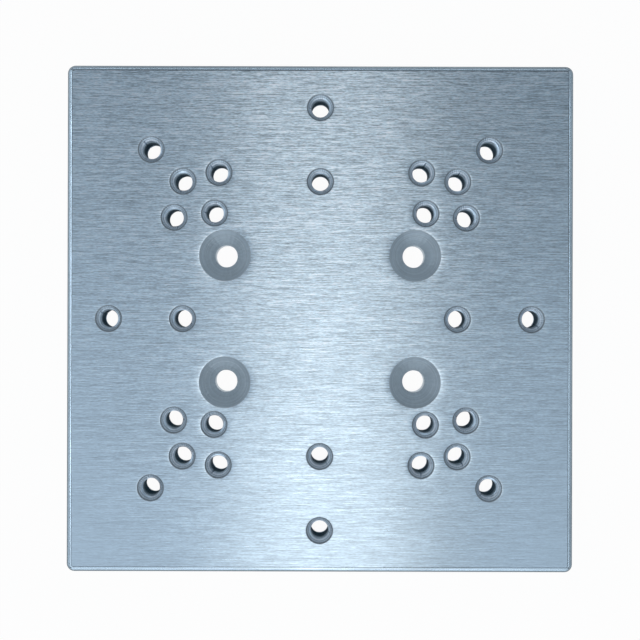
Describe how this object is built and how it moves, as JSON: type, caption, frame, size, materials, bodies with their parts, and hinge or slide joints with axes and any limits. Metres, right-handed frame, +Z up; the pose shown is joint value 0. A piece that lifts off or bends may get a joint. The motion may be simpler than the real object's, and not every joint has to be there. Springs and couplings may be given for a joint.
{
  "type": "square mounting plate",
  "caption": "Square flat aluminium mounting plate with rounded edges, tapped holes in circles and squares, and a rectangle of countersunk screw holes.",
  "frame": {"origin": "centre of the plate's underside, which lies on the ground", "axes": "+Z up out of the countersunk show face; +X along the brushed grain and along the longer side of the countersunk rectangle; +Y across the grain"},
  "size_m": [0.1524, 0.1524, 0.0095],
  "materials": {
    "plate": "brushed along X, blue-grey silver"
  },
  "bodies": {
    "root": {"plate": "plate"}
  },
  "joints": []
}
